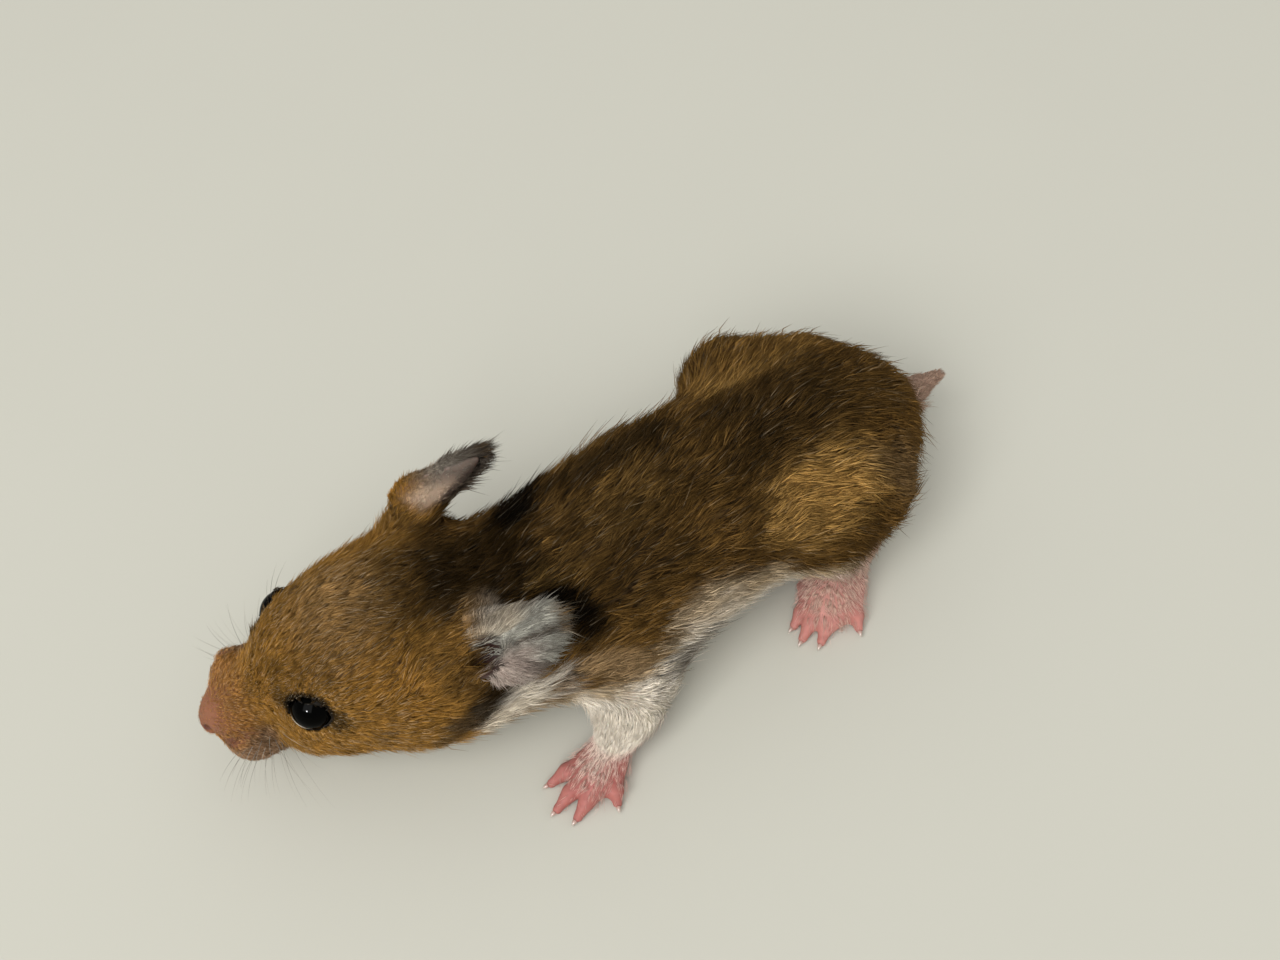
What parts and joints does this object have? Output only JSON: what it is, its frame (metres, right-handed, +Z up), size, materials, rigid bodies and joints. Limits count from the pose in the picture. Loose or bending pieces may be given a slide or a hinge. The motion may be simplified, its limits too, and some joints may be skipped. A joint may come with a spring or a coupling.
{
  "type": "syrian hamster",
  "caption": "Young golden hamster walking low and stretched out, with splayed paws, laid-back ears, bulging dark eyes and a short bare tail.",
  "frame": {"origin": "on the floor, under the middle of the animal's overall box", "axes": "+Z up, the head towards -X, the tail towards +X, and the animal's left side towards -Y"},
  "size_m": [0.0874, 0.0442, 0.0277],
  "materials": {
    "golden_coat": "golden-brown fur, ticked with dark hair tips",
    "dark_coat": "dark brown fur with golden streaks",
    "pale_coat": "cream white fur, grey at the roots",
    "bare_skin": "soft pink bare skin",
    "ear_skin": "thin grey-pink skin with fine silvery hairs",
    "eye": "wet, glossy black",
    "claw": "translucent grey horn",
    "whisker": "fine pale stiff hairs"
  },
  "bodies": {
    "root": {"head": "golden_coat", "nose": "bare_skin", "neck": "dark_coat", "chest": "dark_coat", "belly": "dark_coat", "rump": "golden_coat", "tail": "bare_skin", "ear_left": "ear_skin", "ear_right": "ear_skin", "eye_left": "eye", "eye_right": "eye", "foreleg_left": "pale_coat", "foreleg_right": "pale_coat", "forepaw_left": "bare_skin", "forepaw_right": "bare_skin", "hindleg_left": "golden_coat", "hindleg_right": "golden_coat", "hindfoot_left": "bare_skin", "hindfoot_right": "bare_skin"}
  },
  "joints": []
}
